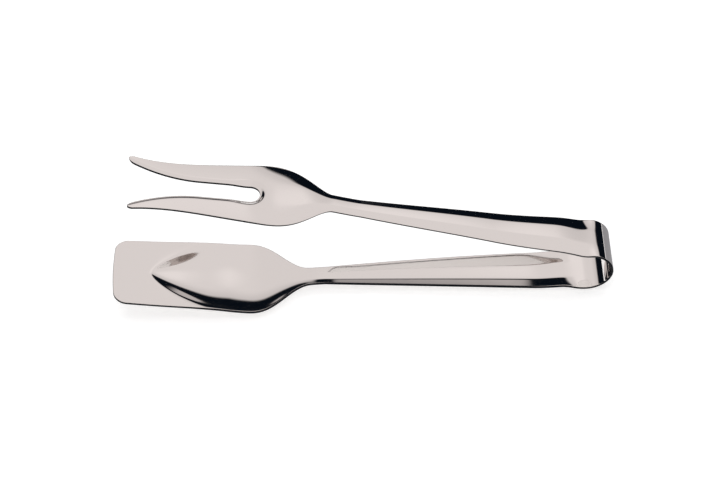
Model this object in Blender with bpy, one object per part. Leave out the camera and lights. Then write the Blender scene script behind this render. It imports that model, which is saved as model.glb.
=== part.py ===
"""Serving tongs bent from one strip of polished stainless steel.

The strip has three working lengths: the arm with the spatula, the bow that springs, and the
arm with the fork. It lies on its spatula arm, as on a table, and stands open as it was bent.
Metres, +Z up. The origin is under the middle of the overall length, on the table. The heads
point to -X and the back of the bow to +X, and the part is alike on both sides of Y = 0.
A reach is a distance from the centre of the bow towards the heads.
A rim is the middle of the sheet at the strip's long edge.
"""

import math

import bmesh
import bpy
from mathutils import Vector

# The strip
OVERALL_LENGTH = 0.2100        # front edge of the blade to the back of the bow
SHEET_THICKNESS = 0.0010
EDGE_ROUNDING = 0.0003
FLEX_GAP = 0.0003              # between two lengths, where the strip is divided

# The bow
BOW_RADIUS = 0.0107            # to the middle of the sheet
BOW_WIDTH = 0.0200
BOW_LIFT = 0.0009              # above the table, because the pressed handle stands lower
FLEX_ANGLE = math.acos(2 / math.pi)   # from the back of the bow, so that a half ring flexes true

# The pressed section of both handles: a flat middle, a fold and a straight flange
FLANGE_ANGLE = math.radians(20)
FLANGE_START_LENGTH = 0.0060   # from the bow to most of the flange's angle
FLANGE_FULL_LENGTH = 0.0500    # from the bow to all of it

# Spatula arm, seen from the side: rises, and heights of the rim above the table
SPATULA_START_RISE = math.radians(3.6)
SPATULA_NECK_HEIGHT = 0.0042
SPATULA_HEEL_HEIGHT = 0.0034
SPATULA_RISE_HEIGHT = 0.0053
SPATULA_HEAD_RISE = math.radians(11.9)
SPATULA_FRONT_HEIGHT = 0.0122
SPATULA_FRONT_RISE = math.radians(8.3)   # of the flat in front of the bowl

# Spatula arm: setbacks from its front edge
SPATULA_NECK_SETBACK = 0.0893
SPATULA_SHOULDER_START_SETBACK = 0.0839
SPATULA_HEEL_SETBACK = 0.0733
SPATULA_SHOULDER_END_SETBACK = 0.0552
SPATULA_RISE_SETBACK = 0.0483
BOWL_NOSE_SETBACK = 0.0155

# Spatula arm, seen from above
SPATULA_NECK_WIDTH = 0.0093
SPATULA_TAPER_POWER = 1.54
SPATULA_SHOULDER_POWER = 0.88
SPATULA_SHOULDER_WIDTH = 0.0373
SPATULA_FRONT_WIDTH = 0.0340
SPATULA_FRONT_CORNER = 0.0051
SPATULA_FRONT_CROWN = 0.0010   # how far the middle of the front edge stands out

# Hollow of the spatula
BOWL_LIP_DEPTH = 0.0007        # of the wide shallow dish round the bowl
BOWL_NOSE_LENGTH = 0.0105      # from the nose to full depth
BOWL_NOSE_RADIUS = 0.0042      # of the nose, seen from above

# Fork arm, seen from the side: rises, and heights of the rim above the table
FORK_START_RISE = math.radians(12.9)
FORK_HANDLE_REACH = 0.0394
FORK_HANDLE_HEIGHT = 0.0319
FORK_HANDLE_RISE = math.radians(16.4)
FORK_NECK_HEIGHT = 0.0469
FORK_NECK_RISE = math.radians(16.7)
FORK_BODY_HEIGHT = 0.0547
FORK_BODY_RISE = math.radians(11.4)
FORK_TIP_HEIGHT = 0.0694
FORK_TIP_RISE = math.radians(14.8)

# Fork arm: setback of the tips from the blade's front edge, then lengths back from the tips
FORK_TIP_SETBACK = 0.0111
FORK_NECK_LENGTH = 0.0937
FORK_SHOULDER_START_LENGTH = 0.0814
FORK_BODY_LENGTH = 0.0693
FORK_SHOULDER_END_LENGTH = 0.0510
SLOT_LENGTH = 0.0532
FORK_FLARE_LENGTH = 0.0362
SLOT_FLARE_LENGTH = 0.0282

# Fork arm, seen from above
FORK_NECK_WIDTH = 0.0093
FORK_TAPER_POWER = 1.13
FORK_SHOULDER_POWER = 0.60
FORK_SHOULDER_WIDTH = 0.0319
FORK_TINE_SPREAD = 0.0212      # width over the tines at their tips, before they flare
FORK_FLARE = 0.0034            # how far the outer edge of a tine turns out at its tip
SLOT_WIDTH = 0.0079
SLOT_FLARE = 0.0074            # how far the inner edge of a tine turns out at its tip
TINE_TIP_ROUNDING = 0.0024

# Crown of the fork: its outer face is domed, and the slot's edge is rolled in
FORK_HEAD_CROWN = 0.0014
SLOT_ROLL_DEPTH = 0.0013
SLOT_ROLL_WIDTH = 0.0035

# Where the mesh has its rows and columns
ARC_STEP = math.radians(8)
START_ROWS = 2                 # where the handles' flanges begin
HANDLE_ROWS = 13
SHOULDER_ROWS = 14
HEAD_ROWS = 7
NOSE_ROWS = 4
FRONT_ROWS = 3
TINE_ROWS = 12
CORNER_STEPS = 4
COLUMN_SHARES = (0.0, 0.21, 0.41, 0.49, 0.57, 0.80, 1.0)
FLAT_SHARE = COLUMN_SHARES[2]  # of the half width, flat in the middle of the handle
FOLD_SHARE = COLUMN_SHARES[4] - FLAT_SHARE
FLANGE_START_SHARE = 0.65      # of its angle that the flange has after its start
TIP_END_SHARE = 0.92           # of the rounding that a tine's blunt end stops at

HALF = 0.5
bow_outer_radius = BOW_RADIUS + HALF * SHEET_THICKNESS
bow_centre = Vector((HALF * OVERALL_LENGTH - bow_outer_radius, 0, bow_outer_radius + BOW_LIFT))
spatula_reach = OVERALL_LENGTH - bow_outer_radius
gap_angle = HALF * FLEX_GAP / BOW_RADIUS


def smooth(share):
    """Ease from 0 to 1 with no slope or bend at either end."""
    t = min(max(share, 0), 1)
    return t ** 3 * (t * (6 * t - 15) + 10)


def curve_height(knots, reach):
    """Height of a smooth curve through (reach, height, rise angle) knots."""
    last = len(knots) - 2
    index = max([i for i in range(last + 1) if reach >= knots[i][0]] or [0])
    (start, low, rise_in), (end, high, rise_out) = knots[index], knots[index + 1]
    span = end - start
    t = (reach - start) / span
    return (
        (2 * t ** 3 - 3 * t ** 2 + 1) * low
        + (t ** 3 - 2 * t ** 2 + t) * span * math.tan(rise_in)
        + (3 * t ** 2 - 2 * t ** 3) * high
        + (t ** 3 - t ** 2) * span * math.tan(rise_out)
    )


def steps(start, end, count):
    """Even places from start up to, but not at, end."""
    return [start + (end - start) * i / count for i in range(count)]


def arc_steps(start, end):
    return steps(start, end, math.ceil((end - start) / ARC_STEP))


def bow_point(angle, side):
    """Middle of the sheet on the bow: angle from its back, side -1 below and 1 above."""
    return bow_centre + BOW_RADIUS * Vector((math.cos(angle), 0, side * math.sin(angle)))


def arc_row(angle, side):
    middle = bow_point(angle, side)
    return [middle + Vector((0, share * HALF * BOW_WIDTH, 0)) for share in COLUMN_SHARES]


def handle_half_width(reach, neck_reach, neck_width, power):
    taper = min(max(reach / neck_reach, 0), 1) ** power
    return HALF * (BOW_WIDTH + (neck_width - BOW_WIDTH) * taper)


def shoulder_share(reach, start, end, power):
    return smooth(max((reach - start) / (end - start), 0) ** power)


def flange_rise(side, half, reach):
    """How far a handle's section stands above its flat middle, at a distance from that middle."""
    start = FLANGE_START_SHARE * smooth(reach / FLANGE_START_LENGTH)
    full = (1 - FLANGE_START_SHARE) * smooth(reach / FLANGE_FULL_LENGTH)
    fold = FOLD_SHARE * half
    beyond = max(side - FLAT_SHARE * half, 0)
    bent = min(beyond, fold)
    return math.tan(FLANGE_ANGLE) * (start + full) * (HALF * bent ** 2 / fold + beyond - bent)


# Spatula arm
spatula_neck_reach = spatula_reach - SPATULA_NECK_SETBACK
spatula_shoulder_start = spatula_reach - SPATULA_SHOULDER_START_SETBACK
spatula_shoulder_end = spatula_reach - SPATULA_SHOULDER_END_SETBACK
nose_reach = spatula_reach - BOWL_NOSE_SETBACK
corner_reach = spatula_reach - SPATULA_FRONT_CORNER
spatula_knots = (
    (
        BOW_RADIUS * math.sin(SPATULA_START_RISE),
        bow_centre.z - BOW_RADIUS * math.cos(SPATULA_START_RISE),
        SPATULA_START_RISE,
    ),
    (spatula_neck_reach, SPATULA_NECK_HEIGHT, 0),
    (spatula_reach - SPATULA_HEEL_SETBACK, SPATULA_HEEL_HEIGHT, 0),
    (spatula_reach - SPATULA_RISE_SETBACK, SPATULA_RISE_HEIGHT, SPATULA_HEAD_RISE),
    (
        nose_reach,
        SPATULA_FRONT_HEIGHT - math.tan(SPATULA_FRONT_RISE) * BOWL_NOSE_SETBACK,
        SPATULA_FRONT_RISE,
    ),
    (spatula_reach, SPATULA_FRONT_HEIGHT, SPATULA_FRONT_RISE),
)


def spatula_half_width(reach):
    handle = handle_half_width(
        reach, spatula_neck_reach, SPATULA_NECK_WIDTH, SPATULA_TAPER_POWER
    )
    along = (reach - spatula_shoulder_end) / SPATULA_SHOULDER_END_SETBACK
    blade = SPATULA_SHOULDER_WIDTH + (SPATULA_FRONT_WIDTH - SPATULA_SHOULDER_WIDTH) * along
    blend = shoulder_share(
        reach, spatula_shoulder_start, spatula_shoulder_end, SPATULA_SHOULDER_POWER
    )
    half = handle + HALF * (blade - SPATULA_NECK_WIDTH) * blend
    past = max(reach - corner_reach, 0)
    return half - SPATULA_FRONT_CORNER + math.sqrt(SPATULA_FRONT_CORNER ** 2 - past ** 2)


def crest_half_width(reach):
    """Half the width of the bowl between its two crests, kept inside the outline."""
    behind = max(nose_reach - reach, 0)
    crest = math.sqrt(2 * BOWL_NOSE_RADIUS * behind)
    full = spatula_half_width(reach)
    return min(max(crest, COLUMN_SHARES[1] * full), COLUMN_SHARES[-2] * full)


def head_share(reach):
    """How far the handle's section has become the head's."""
    return shoulder_share(reach, spatula_neck_reach, spatula_shoulder_end, 1)


def bowl_share(reach):
    """Depth of the bowl along its middle, 1 at its deepest."""
    ahead = max(1 - max(nose_reach - reach, 0) / BOWL_NOSE_LENGTH, 0)
    return (1 - ahead ** 2) * head_share(reach)


def hollow_depths(reach):
    """Depths of the handle's trough and of the dish round the bowl."""
    half = spatula_half_width(min(reach, spatula_neck_reach))
    trough = flange_rise(half, half, reach) * (1 - head_share(reach))
    behind = max(nose_reach - reach, 0)
    return trough, BOWL_LIP_DEPTH * smooth(behind / BOWL_NOSE_SETBACK) * head_share(reach)


def depth_to_table(reach):
    """Depth of bowl that would bring the underside to the table at this reach."""
    room = curve_height(spatula_knots, reach) - sum(hollow_depths(reach))
    return (room - HALF * SHEET_THICKNESS) / bowl_share(reach)


def spatula_row(reach, bowl_depth):
    """Half a section of the spatula arm: handle trough, bowl or flat blade."""
    half = spatula_half_width(reach)
    crest = crest_half_width(reach)
    head = head_share(reach)
    trough, dish = hollow_depths(reach)
    bowl = bowl_depth * bowl_share(reach)
    crown = SPATULA_FRONT_CROWN * smooth(1 - (spatula_reach - reach) / BOWL_NOSE_SETBACK)
    row = []
    for share in COLUMN_SHARES:
        on_crest = share / COLUMN_SHARES[-2]
        head_side = crest * on_crest if on_crest <= 1 else half * share
        side = half * share + (head_side - half * share) * head
        across = side / half
        flange = flange_rise(side, half, reach) / max(flange_rise(half, half, reach), EDGE_ROUNDING)
        inside = max(1 - (side / crest) ** 2, 0)
        drop = trough * (1 - flange) + dish * (1 - across ** 2) + bowl * inside
        place = reach - crown * across ** 2
        rim = curve_height(spatula_knots, place)
        row.append(Vector((bow_centre.x - place, side, rim - drop)))
    return row


def spatula_rows():
    angles = arc_steps(FLEX_ANGLE + gap_angle, HALF * math.pi + SPATULA_START_RISE)
    head_reaches = (
        steps(spatula_shoulder_end, nose_reach - BOWL_NOSE_LENGTH, HEAD_ROWS)
        + steps(nose_reach - BOWL_NOSE_LENGTH, nose_reach, NOSE_ROWS)
    )
    neck_reaches = steps(spatula_neck_reach, spatula_shoulder_end, SHOULDER_ROWS)
    bowl_depth = min(depth_to_table(reach) for reach in neck_reaches[1:] + head_reaches)
    reaches = (
        steps(spatula_knots[0][0], FLANGE_START_LENGTH, START_ROWS)
        + steps(FLANGE_START_LENGTH, spatula_neck_reach, HANDLE_ROWS)
        + neck_reaches
        + head_reaches
        + steps(nose_reach, corner_reach, FRONT_ROWS)
    )
    for i in range(CORNER_STEPS + 1):
        turn = HALF * math.pi * i / CORNER_STEPS
        reaches.append(corner_reach + SPATULA_FRONT_CORNER * math.sin(turn))
    rows = [spatula_row(reach, bowl_depth) for reach in reaches]
    return [arc_row(angle, -1) for angle in angles] + rows


# Fork arm
fork_tip_reach = spatula_reach - FORK_TIP_SETBACK
fork_neck_reach = fork_tip_reach - FORK_NECK_LENGTH
fork_shoulder_start = fork_tip_reach - FORK_SHOULDER_START_LENGTH
fork_shoulder_end = fork_tip_reach - FORK_SHOULDER_END_LENGTH
slot_root_reach = fork_tip_reach - SLOT_LENGTH
tip_start = fork_tip_reach - TINE_TIP_ROUNDING
slot_half = HALF * SLOT_WIDTH
fork_knots = (
    (
        -BOW_RADIUS * math.sin(FORK_START_RISE),
        bow_centre.z + BOW_RADIUS * math.cos(FORK_START_RISE),
        FORK_START_RISE,
    ),
    (FORK_HANDLE_REACH, FORK_HANDLE_HEIGHT, FORK_HANDLE_RISE),
    (fork_neck_reach, FORK_NECK_HEIGHT, FORK_NECK_RISE),
    (fork_tip_reach - FORK_BODY_LENGTH, FORK_BODY_HEIGHT, FORK_BODY_RISE),
    (fork_tip_reach, FORK_TIP_HEIGHT, FORK_TIP_RISE),
)


def fork_outer_edge(reach):
    handle = handle_half_width(reach, fork_neck_reach, FORK_NECK_WIDTH, FORK_TAPER_POWER)
    to_tip = fork_tip_reach - reach
    head = FORK_TINE_SPREAD
    head += (FORK_SHOULDER_WIDTH - FORK_TINE_SPREAD) * to_tip / FORK_SHOULDER_END_LENGTH
    blend = shoulder_share(reach, fork_shoulder_start, fork_shoulder_end, FORK_SHOULDER_POWER)
    turn = max(1 - to_tip / FORK_FLARE_LENGTH, 0)
    return handle + HALF * (head - FORK_NECK_WIDTH) * blend + FORK_FLARE * turn ** 3


def fork_inner_edge(reach):
    """Half the slot's width: 0 behind its round root."""
    into = min(max(reach - slot_root_reach, 0), slot_half)
    root = math.sqrt(slot_half ** 2 - (slot_half - into) ** 2)
    turn = max(1 - (fork_tip_reach - reach) / SLOT_FLARE_LENGTH, 0)
    return root + SLOT_FLARE * turn ** 2


def fork_row(reach):
    """Half a section of the fork arm: domed handle, body, or one tine."""
    outer = fork_outer_edge(reach)
    inner = fork_inner_edge(reach)
    past = max(reach - tip_start, 0) / TINE_TIP_ROUNDING
    narrow = math.sqrt(1 - past ** 2)
    middle = HALF * (outer + inner)
    head = shoulder_share(reach, fork_neck_reach, fork_shoulder_end, 1)
    to_slot = max(slot_root_reach - reach, 0)
    fade = math.sqrt(max((fork_tip_reach - reach) / FORK_SHOULDER_END_LENGTH, 0))
    head_crown = FORK_HEAD_CROWN * head * min(fade, 1)
    rim = curve_height(fork_knots, reach)
    row = []
    for share in COLUMN_SHARES:
        plain = inner + (outer - inner) * share
        side = middle + (plain - middle) * narrow if inner > 0 else plain
        flange = flange_rise(outer, outer, reach) - flange_rise(side, outer, reach)
        rise = flange * (1 - head) + head_crown * (1 - (side / outer) ** 4)
        near_slot = math.hypot(max(side - inner, 0), to_slot)
        roll = SLOT_ROLL_DEPTH * max(1 - near_slot / SLOT_ROLL_WIDTH, 0) ** 2
        row.append(Vector((bow_centre.x - reach, side, rim + rise - roll)))
    return row


def fork_rows():
    angles = arc_steps(FLEX_ANGLE + gap_angle, HALF * math.pi - FORK_START_RISE)
    slot_start = slot_root_reach - SLOT_ROLL_WIDTH
    reaches = (
        steps(fork_knots[0][0], FLANGE_START_LENGTH, START_ROWS)
        + steps(FLANGE_START_LENGTH, fork_neck_reach, HANDLE_ROWS)
        + steps(fork_neck_reach, slot_start, SHOULDER_ROWS)
        + steps(slot_start, slot_root_reach, START_ROWS)
    )
    for i in range(CORNER_STEPS):
        turn = HALF * math.pi * i / CORNER_STEPS
        reaches.append(slot_root_reach + slot_half * (1 - math.cos(turn)))
    reaches += steps(slot_root_reach + slot_half, tip_start, TINE_ROWS)
    for i in range(CORNER_STEPS + 1):
        turn = math.asin(TIP_END_SHARE) * i / CORNER_STEPS
        reaches.append(tip_start + TINE_TIP_ROUNDING * math.sin(turn))
    return [arc_row(angle, 1) for angle in angles] + [fork_row(reach) for reach in reaches]


def bow_rows():
    end = FLEX_ANGLE - gap_angle
    return [arc_row(angle, 1) for angle in arc_steps(-end, end) + [end]]


def steel(name, colour, roughness):
    material = bpy.data.materials.new(name)
    material.use_nodes = True
    shader = material.node_tree.nodes["Principled BSDF"]
    shader.inputs["Base Color"].default_value = (*colour, 1)
    shader.inputs["Metallic"].default_value = 1
    shader.inputs["Roughness"].default_value = roughness
    return material


def strip(name, rows, origin, material):
    """A length of the strip: half its middle surface, mirrored and given its thickness."""
    mesh = bpy.data.meshes.new(name)
    surface = bmesh.new()
    grid = [[surface.verts.new(point - origin) for point in row] for row in rows]
    for near, far in zip(grid, grid[1:]):
        for i in range(len(near) - 1):
            surface.faces.new((near[i], near[i + 1], far[i + 1], far[i]))
    surface.to_mesh(mesh)
    surface.free()
    mesh.shade_smooth()
    mesh.materials.append(material)
    piece = bpy.data.objects.new(name, mesh)
    piece.location = origin
    bpy.context.scene.collection.objects.link(piece)
    mirror = piece.modifiers.new("Other half", "MIRROR")
    mirror.use_axis = (False, True, False)
    mirror.merge_threshold = 0.1 * EDGE_ROUNDING
    sheet = piece.modifiers.new("Sheet thickness", "SOLIDIFY")
    sheet.thickness = SHEET_THICKNESS
    sheet.offset = 0
    sheet.use_even_offset = True
    bevel = piece.modifiers.new("Rounded edges", "BEVEL")
    bevel.width = EDGE_ROUNDING
    bevel.segments = 1
    bevel.limit_method = "ANGLE"
    bevel.angle_limit = math.radians(60)
    return piece


def main():
    for old in list(bpy.data.objects):
        bpy.data.objects.remove(old, do_unlink=True)
    lower_axis = bow_point(FLEX_ANGLE, -1)
    upper_axis = bow_point(FLEX_ANGLE, 1)
    mirror_polish = steel("Stainless steel, mirror polished", (0.69, 0.64, 0.62), 0.06)
    bow_polish = steel("Stainless steel, polished bow", (0.66, 0.62, 0.60), 0.10)
    fork_polish = steel("Stainless steel, polished fork", (0.68, 0.63, 0.61), 0.07)
    strip("spatula_arm", spatula_rows(), Vector((0, 0, 0)), mirror_polish)
    strip("spring_bow", bow_rows(), lower_axis, bow_polish)
    strip("fork_arm", fork_rows(), upper_axis, fork_polish)


main()
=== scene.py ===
import math

import bmesh
import bpy
from mathutils import Matrix, Vector


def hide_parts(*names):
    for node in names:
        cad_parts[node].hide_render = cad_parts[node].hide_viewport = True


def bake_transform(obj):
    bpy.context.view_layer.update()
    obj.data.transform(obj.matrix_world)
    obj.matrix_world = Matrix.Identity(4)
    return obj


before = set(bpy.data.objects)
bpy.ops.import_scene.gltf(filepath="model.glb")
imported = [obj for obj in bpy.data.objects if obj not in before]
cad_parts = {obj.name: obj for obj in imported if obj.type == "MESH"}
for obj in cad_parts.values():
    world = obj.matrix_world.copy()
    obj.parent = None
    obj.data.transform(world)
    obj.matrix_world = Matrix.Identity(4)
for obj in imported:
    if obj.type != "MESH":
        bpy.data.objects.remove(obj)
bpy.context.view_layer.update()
print("serving tongs: frame loaded")

mm = 0.001
hair = 1e-7     # m, anything closer counts as the same place


def linear(hexColour):
    parts = [int(hexColour[i:i + 2], 16) / 255 for i in (1, 3, 5)]
    parts = [c / 12.92 if c <= 0.04045 else ((c + 0.055) / 1.055) ** 2.4 for c in parts]
    return (*parts, 1)


def addNode(tree, kind, inputs=None, **settings):
    node = tree.nodes.new(kind)
    for key, value in settings.items():
        setattr(node, key, value)
    for key, value in (inputs or {}).items():
        if isinstance(value, bpy.types.NodeSocket):
            tree.links.new(value, node.inputs[key])
        else:
            node.inputs[key].default_value = value
    return node


def newMaterial(name):
    material = bpy.data.materials.new(name)
    material.use_nodes = True
    material.node_tree.nodes.clear()
    return material


# Stainless steel 18/10, stamped, then polished to a mirror along the strip
polished = {
    "colour": "#E2DEDC",
    "roughness": (0.035, 0.075),
    "hazeSize": 6.0,        # mm, patches where the mop dwelt
    "lineSpacing": 0.12,    # mm between polishing lines, across the strip
    "lineLength": 9.0,      # mm
    "lineDepth": 0.00012,   # mm
    "noiseRange": (0.1, 0.45),      # of haze times lines, from the smoothest to the roughest
}

# The same steel at its cut edge, made satin by tumbling; its colour is painted almost black as painted
# shade, so that the rim reads as a fine dark line
edgeSatinAndPaintedShade = {
    # painted shade: near black in place of the steel's own colour
    "colour": "#16181C",
    "roughness": (0.26, 0.36),
    "grain": 0.25,          # mm
    "noiseRange": (0.3, 0.7),
}


def polishedSteel():
    material = newMaterial("Stainless steel, mirror polished")
    tree = material.node_tree
    place = addNode(tree, "ShaderNodeTexCoord").outputs["Object"]
    haze = addNode(tree, "ShaderNodeTexNoise", {
        "Vector": place, "Scale": 1 / (polished["hazeSize"] * mm), "Detail": 3, "Roughness": 0.55,
    })
    across = 1 / (polished["lineSpacing"] * mm)
    stretched = addNode(tree, "ShaderNodeMapping", {
        "Vector": place, "Scale": (1 / (polished["lineLength"] * mm), across, across),
    })
    lines = addNode(tree, "ShaderNodeTexNoise", {
        "Vector": stretched.outputs["Vector"], "Scale": 1, "Detail": 2, "Roughness": 0.5,
    })
    mixed = addNode(tree, "ShaderNodeMath", {
        0: haze.outputs["Fac"], 1: lines.outputs["Fac"],
    }, operation="MULTIPLY")
    low, high = polished["roughness"]
    smoothest, roughest = polished["noiseRange"]
    roughness = addNode(tree, "ShaderNodeMapRange", {
        "Value": mixed.outputs["Value"], "From Min": smoothest, "From Max": roughest,
        "To Min": low, "To Max": high,
    })
    bump = addNode(tree, "ShaderNodeBump", {
        "Height": lines.outputs["Fac"], "Strength": 1, "Distance": polished["lineDepth"] * mm,
    })
    shader = addNode(tree, "ShaderNodeBsdfPrincipled", {
        "Base Color": linear(polished["colour"]), "Metallic": 1,
        "Roughness": roughness.outputs["Result"], "Normal": bump.outputs["Normal"],
    })
    addNode(tree, "ShaderNodeOutputMaterial", {"Surface": shader.outputs["BSDF"]})
    return material


def satinEdgeWithPaintedShade():
    material = newMaterial("Stainless steel edge, satin with painted shade")
    tree = material.node_tree
    place = addNode(tree, "ShaderNodeTexCoord").outputs["Object"]
    grain = addNode(tree, "ShaderNodeTexNoise", {
        "Vector": place, "Scale": 1 / (edgeSatinAndPaintedShade["grain"] * mm), "Detail": 2,
    })
    low, high = edgeSatinAndPaintedShade["roughness"]
    smoothest, roughest = edgeSatinAndPaintedShade["noiseRange"]
    roughness = addNode(tree, "ShaderNodeMapRange", {
        "Value": grain.outputs["Fac"], "From Min": smoothest, "From Max": roughest,
        "To Min": low, "To Max": high,
    })
    # The base colour is painted shade, darkening every rim face
    shader = addNode(tree, "ShaderNodeBsdfPrincipled", {
        "Base Color": linear(edgeSatinAndPaintedShade["colour"]), "Metallic": 1, "Roughness": roughness.outputs["Result"],
    })
    addNode(tree, "ShaderNodeOutputMaterial", {"Surface": shader.outputs["BSDF"]})
    return material


# The strip, in millimetres. A reach is a distance from the middle of the bow towards the heads.
strip = {
    "thickness": 1.0,
    "edgeRound": 0.13,
    "rimSteps": 3,             # in each quarter of the rim's round
    "bowRadius": 10.7,
    "bowWidth": 19.8,
    "bowX": 93.8,
    "bowZ": 12.1,
    "bowStep": 2.0,            # degrees
    "seamRow": 0.1,            # degrees to the first row, so that normals at the seam point straight out
    "flangeSlope": 0.313,
    "flatBulge": 0.060,        # the flat's own slight crown, over its half width
    "flangeStart": 10.0,       # mm along, in which most of the flange opens
    "flangeStartShare": 0.72,  # how much opens there
    "flangeFull": 30.0,        # mm along, in which the rest opens
    "flatShare": 0.31,         # of the half width
    "foldShare": 0.16,         # of the half width
    "rowStep": 0.8,
}


def ease(share):
    t = min(max(share, 0), 1)
    return t ** 3 * (t * (6 * t - 15) + 10)


# The height at a reach, on a smooth curve through knots of (reach, height, rise in degrees)
def throughKnots(knots, reach):
    last = len(knots) - 2
    index = max([i for i in range(last + 1) if reach >= knots[i][0]] or [0])
    (start, low, riseIn), (end, high, riseOut) = knots[index], knots[index + 1]
    span = end - start
    t = (reach - start) / span
    return (
        (2 * t ** 3 - 3 * t ** 2 + 1) * low
        + (t ** 3 - 2 * t ** 2 + t) * span * math.tan(math.radians(riseIn))
        + (3 * t ** 2 - 2 * t ** 3) * high
        + (t ** 3 - t ** 2) * span * math.tan(math.radians(riseOut))
    )


def handleHalf(reach, neckReach, neckWidth, power):
    taper = min(max(reach / neckReach, 0), 1) ** power
    return (strip["bowWidth"] + (neckWidth - strip["bowWidth"]) * taper) / 2


def shoulder(reach, start, end, power):
    return ease(max((reach - start) / (end - start), 0) ** power)


def flangeBend(side, half):
    flat = min(side, strip["flatShare"] * half)
    fold = strip["foldShare"] * half
    beyond = side - flat
    bent = min(beyond, fold)
    bulge = strip["flatBulge"] * flat * (flat + 2 * beyond) / half
    return bulge + strip["flangeSlope"] * (bent ** 2 / fold / 2 + beyond - bent)


# How far a point of the pressed strip stands outside the plain one, by its distance along from where
# the flanges begin. The flanges open first, and the whole strip moves out within the lift's length,
# until its edges are back on the plain strip's line.
def pressed(side, half, along, lift):
    share = strip["flangeStartShare"]
    slow = (1 - share) * ease(along / strip["flangeFull"])
    opened = share * ease(along / strip["flangeStart"]) + slow
    lifted = share * ease(along / lift) + slow
    return lifted * flangeBend(half, half) - opened * flangeBend(side, half)


# The reach and height at which an arm, 1 for the fork and -1 for the spatula, leaves the bow
def bowEnd(side, rise):
    a = math.radians(rise)
    return -side * strip["bowRadius"] * math.sin(a), strip["bowZ"] + side * strip["bowRadius"] * math.cos(a)


def evenly(start, end, step):
    count = max(math.ceil((end - start) / step), 1)
    return [start + (end - start) * i / count for i in range(count)]


def bowRows(side, end, shares, early, lift):
    half = strip["bowWidth"] / 2 - strip["edgeRound"]
    rows = []
    for angle in [0] + evenly(strip["seamRow"], end, strip["bowStep"]):
        a = math.radians(angle)
        along = early - math.radians(end - angle) * strip["bowRadius"]
        row = []
        for share in shares:
            radius = strip["bowRadius"] + pressed(share * half, half, along, lift)
            x = strip["bowX"] + radius * math.cos(a)
            row.append((x, share * half, strip["bowZ"] + side * radius * math.sin(a)))
        rows.append(row)
    return rows


def middleSurface(rows):
    surface = bmesh.new()
    grids = []
    for side in (1, -1):
        grid = []
        for row in rows:
            verts = []
            for x, y, z in row:
                shared = side == -1 and y == 0
                place = Vector((x, side * y, z)) * mm
                verts.append(grids[0][len(grid)][len(verts)] if shared else surface.verts.new(place))
            grid.append(verts)
        grids.append(grid)
        for near, far in zip(grid, grid[1:]):
            for i in range(len(near) - 1):
                corners = [near[i], near[i + 1], far[i + 1], far[i]]
                surface.faces.new(corners if side == 1 else corners[::-1])
    surface.normal_update()
    surface.verts.index_update()
    return surface


def stripPiece(name, rows, materials):
    surface = middleSurface(rows)
    half = strip["thickness"] * mm / 2
    radius = strip["edgeRound"] * mm
    outward = 1 if sum(f.normal.z * f.calc_area() for f in surface.faces) > 0 else -1
    places = [v.co.copy() for v in surface.verts]
    normals = [v.normal * outward for v in surface.verts]
    points = [p + n * half for p, n in zip(places, normals)]
    points += [p - n * half for p, n in zip(places, normals)]
    count = len(places)
    faces = []
    for face in surface.faces:
        around = [v.index for v in face.verts][::outward]
        faces.append(around)
        faces.append([i + count for i in around[::-1]])
    plainFaces = len(faces)
    seam = strip["bowZ"] * mm
    rim = [e for e in surface.edges if e.is_boundary and any(abs(v.co.z - seam) > hair for v in e.verts)]
    rimEdges = set(rim)
    profile = {}
    turns = [math.radians(90 * i / strip["rimSteps"]) for i in range(1, strip["rimSteps"] + 1)]
    for vert in dict.fromkeys(v for e in rim for v in e.verts):
        away = Vector()
        for edge in (e for e in vert.link_edges if e in rimEdges):
            along = (edge.verts[1].co - edge.verts[0].co).normalized()
            side = along.cross(normals[vert.index])
            middle = edge.link_faces[0].calc_center_median()
            away += side if side.dot(vert.co - middle) > 0 else -side
        away.normalize()
        p, n = places[vert.index], normals[vert.index]
        chain = [vert.index]
        for sign, angles in ((1, turns), (-1, turns[::-1])):
            for turn in angles:
                out = away * radius * math.sin(turn)
                points.append(p + out + n * sign * (half - radius + radius * math.cos(turn)))
                chain.append(len(points) - 1)
        profile[vert.index] = chain + [vert.index + count]
    for edge in rim:
        face = edge.link_faces[0]
        order = [v.index for v in face.verts][::outward]
        first, second = (v.index for v in edge.verts)
        if order[(order.index(first) + 1) % len(order)] != second:
            first, second = second, first
        start, end = profile[first], profile[second]
        for i in range(len(start) - 1):
            faces.append([end[i], start[i], start[i + 1], end[i + 1]])
    surface.free()
    mesh = bpy.data.meshes.new(name)
    mesh.from_pydata(points, [], faces)
    for material in materials:
        mesh.materials.append(material)
    # The rim faces take the satin edge material with its painted shade
    for polygon in mesh.polygons[plainFaces:]:
        polygon.material_index = 1
    mesh.shade_smooth()
    piece = bpy.data.objects.new(name, mesh)
    bpy.context.scene.collection.objects.link(piece)
    return piece


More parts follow.
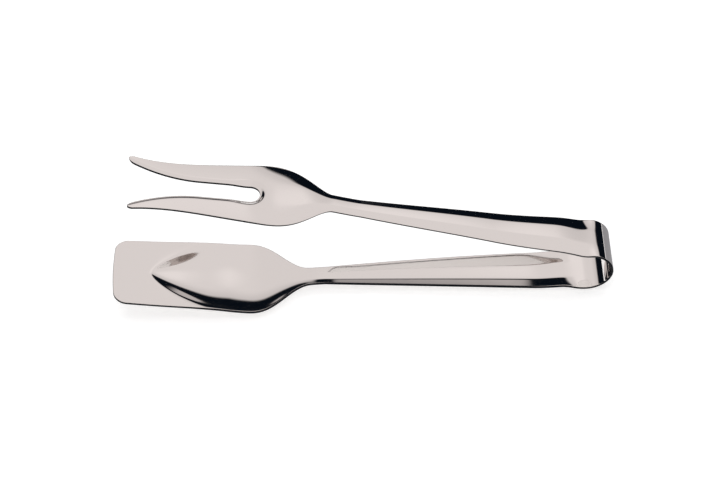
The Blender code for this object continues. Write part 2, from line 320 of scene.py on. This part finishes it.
# The spatula arm
spatula = {
    "front": 198.78,
    "startRise": 3.6,          # degrees
    "flangeEarly": 0.0,        # mm before the bow's end, where the flanges begin
    "lift": 24.0,              # mm along, in which the strip moves out to make room for the flanges
    "flangeEnd": (103, 127),   # reaches between which the flanges fade into the head
    "side": (
        (109.5, 4.2, 0), (125.5, 3.4, 0), (150.5, 5.3, 11.9), (183.3, 9.939, 8.3), (198.8, 12.2, 8.3),
    ),
    "neck": 109.5,
    "shoulderStart": 114.9,
    "shoulderEnd": 143.6,
    "nose": 183.3,
    "neckWidth": 8.8,
    "taperPower": 1.42,
    "shoulderPower": 0.88,
    "shoulderWidth": 36.6,
    "frontWidth": 33.3,
    "corner": 5.1,
    "crown": 1.0,
    "dishDepth": 0.25,
    "noseLength": 10.2,        # in which the bowl gets about two thirds of its depth
    "bowlSpread": 2.136,       # half width of the bowl 1 mm behind its nose
    "bowlPower": 0.66,
    "bowlRim": 1.04,           # of the half width, the most that the bowl spreads to
    "bowlRound": 0.30,         # softness of its edge
    "bowlWall": 2.25,          # how much of its slope is kept for its wall
    "bowlTip": 0.3,            # mm, the least distance behind the nose in the bowl's outline
    "bowlTurn": 14,            # how sharply its outline turns where it stops spreading
    "restRange": (2.0, 0.5),   # mm past the neck and behind the nose, where the bowl may touch the table
    "noseRows": (12.0, 1.0),   # mm behind and in front of the nose, where rows are closer
    "noseStep": 0.4,
    "cornerStep": 6,           # degrees
    "columns": 32,
}
spatulaShares = [i / spatula["columns"] for i in range(spatula["columns"] + 1)]


def spatulaHalf(reach):
    s = spatula
    handle = handleHalf(reach, s["neck"], s["neckWidth"], s["taperPower"])
    along = (reach - s["shoulderEnd"]) / (s["front"] - s["shoulderEnd"])
    blade = s["shoulderWidth"] + (s["frontWidth"] - s["shoulderWidth"]) * along
    grown = shoulder(reach, s["shoulderStart"], s["shoulderEnd"], s["shoulderPower"])
    half = handle + (blade - s["neckWidth"]) * grown / 2
    past = min(max(reach - s["front"] + s["corner"], 0) / (s["corner"] - strip["edgeRound"]), 1)
    corner = s["corner"] - strip["edgeRound"]
    return half - strip["edgeRound"] - corner + corner * math.sqrt(1 - past ** 2)


def spatulaHeight(reach):
    first = (*bowEnd(-1, spatula["startRise"]), spatula["startRise"])
    return throughKnots((first,) + spatula["side"], reach)


def bowlHalf(reach):
    behind = max(spatula["nose"] - reach, spatula["bowlTip"])
    spread = spatula["bowlSpread"] * behind ** spatula["bowlPower"]
    most = spatula["bowlRim"] * spatulaHalf(reach)
    turn = spatula["bowlTurn"]
    return (spread ** -turn + most ** -turn) ** (-1 / turn)


def bowlInside(side, reach):
    inside = 1 - (side / bowlHalf(reach)) ** spatula["bowlWall"]
    return (inside + math.hypot(inside, spatula["bowlRound"])) / 2


def spatulaHead(reach):
    return shoulder(reach, spatula["neck"], spatula["shoulderEnd"], 1)


def hollows(share, reach):
    s = spatula
    half = spatulaHalf(min(reach, s["neck"]))
    along = reach - bowEnd(-1, s["startRise"])[0] + s["flangeEarly"]
    start, end = s["flangeEnd"]
    kept = 1 - ease((reach - start) / (end - start))
    trough = kept * pressed(share * half, half, along, s["lift"])
    behind = max(s["nose"] - reach, 0)
    dish = s["dishDepth"] * ease(behind / (s["front"] - s["nose"])) * spatulaHead(reach)
    return trough + dish * (1 - share ** 2)


def bowlAlong(reach):
    behind = max(spatula["nose"] - reach, 0)
    return (1 - math.exp(-behind / spatula["noseLength"])) * spatulaHead(reach)


def bowlToTable(reach):
    room = spatulaHeight(reach) - hollows(0, reach) - strip["thickness"] / 2
    inside = bowlInside(0, reach) - bowlInside(spatulaHalf(reach), reach)
    return room / (bowlAlong(reach) * inside)


def spatulaRow(reach, bowlDepth):
    s = spatula
    half = spatulaHalf(reach)
    bowl = bowlDepth * bowlAlong(reach)
    crown = s["crown"] * ease(1 - (s["front"] - reach) / (s["front"] - s["nose"]))
    row = []
    for share in spatulaShares:
        side = half * share
        inside = bowlInside(side, reach) - bowlInside(half, reach)
        drop = hollows(share, reach) + bowl * inside
        place = reach - crown * (2 * side / s["frontWidth"]) ** 2
        row.append((strip["bowX"] - place, side, spatulaHeight(place) - drop))
    return row


def makeSpatula(materials):
    s = spatula
    startReach = bowEnd(-1, s["startRise"])[0]
    cornerReach = s["front"] - s["corner"]
    corner = s["corner"] - strip["edgeRound"]
    closeStart = s["nose"] - s["noseRows"][0]
    closeEnd = s["nose"] + s["noseRows"][1]
    reaches = evenly(startReach, closeStart, strip["rowStep"])
    reaches += evenly(closeStart, closeEnd, s["noseStep"])
    reaches += evenly(closeEnd, cornerReach, strip["rowStep"])
    pastNeck, behindNose = s["restRange"]
    resting = [r for r in reaches if s["neck"] + pastNeck < r < s["nose"] - behindNose]
    bowlDepth = min(bowlToTable(r) for r in resting)
    reaches += [cornerReach + corner * math.sin(math.radians(a)) for a in range(0, 91, s["cornerStep"])]
    rows = bowRows(-1, 90 + s["startRise"], spatulaShares, s["flangeEarly"], s["lift"])
    rows += [spatulaRow(reach, bowlDepth) for reach in reaches]
    print("spatula: bowl depth", round(bowlDepth, 2), "rows", len(rows))
    return stripPiece("spatulaStrip", rows, materials)


# The fork arm
fork = {
    "tip": 187.0,
    "startRise": 12.9,         # degrees
    "flangeEarly": 3.5,
    "lift": 20.0,
    "side": ((39.4, 31.7, 16.4), (94.0, 46.9, 16.7), (118.4, 54.7, 11.4), (187.7, 69.3, 14.8)),
    "neck": 94.0,
    "shoulderStart": 105.2,
    "shoulderEnd": 136.7,
    "neckWidth": 8.8,
    "taperPower": 1.04,
    "shoulderPower": 0.64,
    "shoulderWidth": 30.5,
    "tineSpread": 19.9,
    "flare": 4.2,
    "flareLength": 36.2,
    "flarePower": 3,
    "slotRoot": 134.5,
    "slotWidth": 7.9,
    "slotFlare": 7.4,
    "slotFlareLength": 28.2,
    "slotFlarePower": 2,
    "tipRound": 2.4,
    "headCrown": 2.0,          # at the shoulders, less where the body is narrower
    "tineCrown": 0.7,
    "crownFade": (126, 142),   # reaches, from the body's crown to the tines'
    "crownPower": 2.2,
    "rollDepth": (0.45, 1.15),  # of the slot's rolled edge, along the tines and at the slot's root
    "rollWidth": (2.0, 3.0),
    "rollFade": 10.0,
    "rollStep": 0.2,
    "rootStep": 7,             # degrees
    "tipStep": 6,              # degrees
    "tipTurn": 78,             # degrees, where the tip's round stops and leaves it a short straight end
    "columns": 28,
}
forkShares = [i / fork["columns"] for i in range(fork["columns"] + 1)]
slotHalf = fork["slotWidth"] / 2 + strip["edgeRound"]


def forkOuter(reach):
    f = fork
    handle = handleHalf(reach, f["neck"], f["neckWidth"], f["taperPower"])
    toTip = f["tip"] - reach
    head = f["tineSpread"]
    head += (f["shoulderWidth"] - f["tineSpread"]) * toTip / (f["tip"] - f["shoulderEnd"])
    grown = shoulder(reach, f["shoulderStart"], f["shoulderEnd"], f["shoulderPower"])
    turn = max(1 - toTip / f["flareLength"], 0)
    outer = handle + (head - f["neckWidth"]) * grown / 2 + f["flare"] * turn ** f["flarePower"]
    return outer - strip["edgeRound"]


def forkInner(reach):
    f = fork
    into = min(max(reach - f["slotRoot"] + strip["edgeRound"], 0), slotHalf)
    root = math.sqrt(slotHalf ** 2 - (slotHalf - into) ** 2)
    turn = max(1 - (f["tip"] - reach) / f["slotFlareLength"], 0)
    return root + f["slotFlare"] * turn ** f["slotFlarePower"]


def forkHeight(reach):
    first = (*bowEnd(1, fork["startRise"]), fork["startRise"])
    return throughKnots((first,) + fork["side"], reach)


def forkRow(reach):
    f = fork
    outer = forkOuter(reach)
    inner = forkInner(reach)
    past = max(reach - f["tip"] + f["tipRound"], 0) / (f["tipRound"] - strip["edgeRound"])
    narrow = math.sqrt(max(1 - past ** 2, 0))
    middle = (outer + inner) / 2
    head = shoulder(reach, f["neck"], f["shoulderEnd"], 1)
    along = reach - bowEnd(1, f["startRise"])[0] + f["flangeEarly"]
    toCentre = max(f["slotRoot"] + f["slotWidth"] / 2 - reach, 0)
    flared = max(inner - slotHalf, 0)
    start, end = f["crownFade"]
    crown = f["headCrown"] + (f["tineCrown"] - f["headCrown"]) * ease((reach - start) / (end - start))
    crown *= head * math.sqrt(min(max((f["tip"] - reach) / (f["tip"] - f["shoulderEnd"]), 0), 1))
    grown = shoulder(reach, f["shoulderStart"], f["shoulderEnd"], f["shoulderPower"])
    crown *= (f["neckWidth"] + (f["shoulderWidth"] - f["neckWidth"]) * grown) / f["shoulderWidth"]
    atRoot = ease(1 - (reach - f["slotRoot"] - f["slotWidth"] / 2) / f["rollFade"])
    rollDepth, rollWidth = (
        least + (most - least) * atRoot for least, most in (f["rollDepth"], f["rollWidth"])
    )
    row = []
    for share in forkShares:
        plain = inner + (outer - inner) * share
        side = middle + (plain - middle) * narrow if inner > 0 else plain
        arch = crown * (1 - (side / outer) ** f["crownPower"])
        rise = pressed(side, outer, along, f["lift"]) * (1 - head) + arch
        nearSlot = max(math.hypot(toCentre, side - flared) - slotHalf, 0)
        roll = rollDepth * ease(1 - nearSlot / rollWidth)
        row.append((strip["bowX"] - reach, side, forkHeight(reach) + rise - roll))
    return row


def makeFork(materials):
    f = fork
    startReach = bowEnd(1, f["startRise"])[0]
    slotStart = f["slotRoot"] - strip["edgeRound"]
    tipStart = f["tip"] - f["tipRound"]
    tipRound = f["tipRound"] - strip["edgeRound"]
    rollStart = slotStart - f["rollWidth"][1]
    reaches = evenly(startReach, rollStart, strip["rowStep"])
    reaches += evenly(rollStart, slotStart, f["rollStep"])
    reaches += [slotStart + slotHalf * (1 - math.cos(math.radians(a))) for a in range(0, 90, f["rootStep"])]
    reaches += evenly(slotStart + slotHalf, tipStart, strip["rowStep"])
    tipAngles = range(0, f["tipTurn"] + 1, f["tipStep"])
    reaches += [tipStart + tipRound * math.sin(math.radians(a)) for a in tipAngles]
    rows = bowRows(1, 90 - f["startRise"], forkShares, f["flangeEarly"], f["lift"])
    rows += [forkRow(reach) for reach in reaches]
    print("fork: rows", len(rows))
    return stripPiece("forkStrip", rows, materials)


finishes = [polishedSteel(), satinEdgeWithPaintedShade()]
lower = makeSpatula(finishes)
upper = makeFork(finishes)
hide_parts("spatula_arm", "spring_bow")
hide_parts("fork_arm", "spring_bow")
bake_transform(lower)
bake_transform(upper)
print("strip: both arms made")


# The studio, in metres: a white floor, a softbox overhead and a light tent that only the gloss sees
studio = {
    "floorSize": 8.0,
    "floorDrop": 0.00005,      # so that the floor's face is clear of what rests on it
    "floorColour": "#F4F4F4",
    "floorGlow": 0.42,
    "ambient": 0.55,
}


# 1 where the camera looks, itself, by a mirror or through glass, and 0 for the rays that light the rest
def seenByCamera(tree):
    rays = addNode(tree, "ShaderNodeLightPath")
    seen = addNode(tree, "ShaderNodeMath", {
        0: rays.outputs["Is Camera Ray"], 1: rays.outputs["Is Glossy Ray"],
    }, operation="ADD")
    seen = addNode(tree, "ShaderNodeMath", {
        0: seen.outputs["Value"], 1: rays.outputs["Is Transmission Ray"],
    }, operation="ADD", use_clamp=True)
    return seen.outputs["Value"]


def makeFloor():
    size = studio["floorSize"] / 2
    mesh = bpy.data.meshes.new("floor")
    corners = [(-size, -size, 0), (size, -size, 0), (size, size, 0), (-size, size, 0)]
    mesh.from_pydata(corners, [], [(0, 1, 2, 3)])
    floor = bpy.data.objects.new("floor", mesh)
    floor.location.z = -studio["floorDrop"]
    bpy.context.scene.collection.objects.link(floor)
    material = newMaterial("White studio floor")
    tree = material.node_tree
    strength = addNode(tree, "ShaderNodeMath", {
        0: seenByCamera(tree), 1: studio["floorGlow"],
    }, operation="MULTIPLY")
    diffuse = addNode(tree, "ShaderNodeBsdfDiffuse", {"Color": linear(studio["floorColour"])})
    glow = addNode(tree, "ShaderNodeEmission", {"Strength": strength.outputs["Value"]})
    both = addNode(tree, "ShaderNodeAddShader", {0: diffuse.outputs["BSDF"], 1: glow.outputs["Emission"]})
    addNode(tree, "ShaderNodeOutputMaterial", {"Surface": both.outputs["Shader"]})
    mesh.materials.append(material)


def makeWorld():
    world = bpy.data.worlds.new("White studio")
    bpy.context.scene.world = world
    world.use_nodes = True
    tree = world.node_tree
    tree.nodes.clear()
    white = linear("#FFFFFF")
    backdrop = addNode(tree, "ShaderNodeBackground", {"Color": white, "Strength": 1})
    ambient = addNode(tree, "ShaderNodeBackground", {"Color": white, "Strength": studio["ambient"]})
    mixed = addNode(tree, "ShaderNodeMixShader", {
        0: seenByCamera(tree), 1: ambient.outputs["Background"], 2: backdrop.outputs["Background"],
    })
    addNode(tree, "ShaderNodeOutputWorld", {"Surface": mixed.outputs["Shader"]})


# The tent by height above the floor: a bright dome, and below it a pale wall. On the far side, which
# the steel mirrors to the camera, a dark band runs under the dome, and a grey skirt under its middle.
# A pair of angles says in degrees where a layer starts and where it is full, counted up from the floor, to
# the right or towards the far side. For the painted patch of lamp light, they are counted from its middle.
tent = {
    "radius": 1.2,
    "segments": (96, 48),
    "cutBelow": -0.01,          # m, where the ball is cut off to stand on the floor
    "skirt": "#C8C2C1",
    "layers": (
        ("right", (10, 15), "#0A1018"),
        ("right", (-22, -30), "#0A1018"),
        ("up", (12.4, 14.4), "#0A1018"),
        ("far", (32, 20), "#B8B8BA"),
    ),
    "domeFrom": (24.5, 29.5),
    "domeWarmth": (1, 0.95, 0.937),
    "domeLeast": 0.748,
    "domeLights": (             # what brightens or dims the dome, and by how much
        ("up", (28, 44), 0.144),
        ("right", (8, -10), -0.027),
        # the lamp layer is a painted highlight: a brighter patch on the tent that the steel mirrors, in
        # place of the softbox
        ("lamp", (16, 4), 0.105),
    ),
    "paintedLampPatchAt": (50, 19),         # degrees up and to the right, where a bright patch is painted on the tent as a painted highlight; the softbox itself is hidden from the gloss
}

# A grey sheet of painted shade on the floor behind the bow, in millimetres, which the bow's back mirrors:
# it stands in for the floor's shadow there, and only the gloss sees it
paintedShadeSheet = {
    "colour": "#9E9EA1",
    "corners": ((108, -120, 0.4), (400, -120, 0.4), (400, 400, 0.4), (108, 400, 0.4)),
}


def glowing(name, colour):
    material = newMaterial(name)
    tree = material.node_tree
    glow = addNode(tree, "ShaderNodeEmission", {"Color": colour} if colour else None)
    addNode(tree, "ShaderNodeOutputMaterial", {"Surface": glow.outputs["Emission"]})
    return material, tree, glow


def onlyInGloss(piece):
    piece.visible_camera = False
    piece.visible_diffuse = False
    piece.visible_shadow = False
    piece.visible_transmission = False


def makeTent():
    mesh = bpy.data.meshes.new("lightTent")
    ball = bmesh.new()
    around, upright = tent["segments"]
    bmesh.ops.create_uvsphere(ball, u_segments=around, v_segments=upright, radius=tent["radius"])
    bmesh.ops.delete(ball, geom=[v for v in ball.verts if v.co.z < tent["cutBelow"]], context="VERTS")
    ball.to_mesh(mesh)
    ball.free()
    piece = bpy.data.objects.new("lightTent", mesh)
    bpy.context.scene.collection.objects.link(piece)
    material, tree, glow = glowing("Light tent cloth with a dark band", None)
    place = addNode(tree, "ShaderNodeTexCoord").outputs["Object"]
    away = addNode(tree, "ShaderNodeVectorMath", {0: place}, operation="NORMALIZE").outputs["Vector"]
    parts = addNode(tree, "ShaderNodeSeparateXYZ", {"Vector": away}).outputs
    angles = {}
    for direction, part in zip(("right", "far", "up"), parts):
        angles[direction] = addNode(tree, "ShaderNodeMath", {0: part}, operation="ARCSINE").outputs["Value"]
    # The middle of the painted lamp patch on the tent
    rise, side = (math.radians(angle) for angle in tent["paintedLampPatchAt"])
    middle = (math.sin(side), math.sqrt(math.cos(rise) ** 2 - math.sin(side) ** 2), math.sin(rise))
    toLamp = addNode(tree, "ShaderNodeVectorMath", {0: away, 1: middle}, operation="DOT_PRODUCT")
    angles["lamp"] = addNode(tree, "ShaderNodeMath", {
        0: toLamp.outputs["Value"],
    }, operation="ARCCOSINE").outputs["Value"]
    light = tent["domeLeast"]
    for direction, (start, full), gain in tent["domeLights"]:
        share = addNode(tree, "ShaderNodeMapRange", {
            "Value": angles[direction], "From Min": math.radians(start), "From Max": math.radians(full),
        }, interpolation_type="SMOOTHSTEP")
        light = addNode(tree, "ShaderNodeMath", {
            0: share.outputs["Result"], 1: gain, 2: light,
        }, operation="MULTIPLY_ADD").outputs["Value"]
    dome = addNode(tree, "ShaderNodeVectorMath", {0: tent["domeWarmth"], "Scale": light}, operation="SCALE")
    colour = linear(tent["skirt"])
    layers = [(direction, edges, linear(cloth)) for direction, edges, cloth in tent["layers"]]
    layers.append(("up", tent["domeFrom"], dome.outputs["Vector"]))
    for direction, (start, full), cloth in layers:
        share = addNode(tree, "ShaderNodeMapRange", {
            "Value": angles[direction], "From Min": math.radians(start), "From Max": math.radians(full),
        }, interpolation_type="SMOOTHSTEP")
        # The colours of a Mix node are its inputs 6 and 7 and its output 2
        colour = addNode(tree, "ShaderNodeMix", {
            "Factor": share.outputs["Result"], 6: colour, 7: cloth,
        }, data_type="RGBA").outputs[2]
    tree.links.new(colour, glow.inputs["Color"])
    mesh.materials.append(material)
    onlyInGloss(piece)


def makePaintedShadeSheet():
    mesh = bpy.data.meshes.new("paintedShadeSheet")
    mesh.from_pydata([Vector(corner) * mm for corner in paintedShadeSheet["corners"]], [], [(0, 1, 2, 3)])
    # The sheet glows a flat grey: painted shade, standing in for the shadowed floor in the bow's reflection
    mesh.materials.append(glowing("Painted floor shade, seen only in gloss", linear(paintedShadeSheet["colour"]))[0])
    piece = bpy.data.objects.new("paintedShadeSheet", mesh)
    bpy.context.scene.collection.objects.link(piece)
    onlyInGloss(piece)


lampData = {
    "energy": 9.0,      # W
    "size": 1.6,        # m
    "place": (0, 0.3, 1.5),
    "tilt": -11,        # degrees, which aims it at the tongs
}


def makeLamp():
    data = bpy.data.lights.new("overheadSoftbox", "AREA")
    data.energy = lampData["energy"]
    data.size = lampData["size"]
    lamp = bpy.data.objects.new("overheadSoftbox", data)
    lamp.location = lampData["place"]
    lamp.rotation_euler = (math.radians(lampData["tilt"]), 0, 0)
    lamp.visible_glossy = False
    lamp.visible_camera = False
    bpy.context.scene.collection.objects.link(lamp)


# The camera, fitted to the outlines in the photograph
cameraData = {
    "lens": 115,            # mm
    "sensor": 36,           # mm
    "clipStart": 0.05,      # m
    "elevation": 50.5,
    "azimuth": 0.595,
    "roll": -1.651,
    "distance": 958.89,
    "target": (-0.433, 0, 26.932),
}


def makeCamera():
    c = cameraData
    e, a, r = (math.radians(c[key]) for key in ("elevation", "azimuth", "roll"))
    forward = Vector((math.sin(a) * math.cos(e), math.cos(a) * math.cos(e), -math.sin(e)))
    right = Vector((math.cos(a), -math.sin(a), 0))
    up = right.cross(forward)
    right, up = math.cos(r) * right + math.sin(r) * up, math.cos(r) * up - math.sin(r) * right
    data = bpy.data.cameras.new("camera")
    data.lens = c["lens"]
    data.sensor_width = c["sensor"]
    data.clip_start = c["clipStart"]
    camera = bpy.data.objects.new("camera", data)
    turn = Matrix((right, up, -forward)).transposed().to_4x4()
    place = Vector(c["target"]) * mm - forward * c["distance"] * mm
    camera.matrix_world = Matrix.Translation(place) @ turn
    bpy.context.scene.collection.objects.link(camera)
    bpy.context.scene.camera = camera


makeFloor()
makeWorld()
makeTent()
makePaintedShadeSheet()
makeLamp()
makeCamera()
bpy.context.scene.view_settings.view_transform = "Standard"
print("studio: floor, tent, lamp and camera placed")
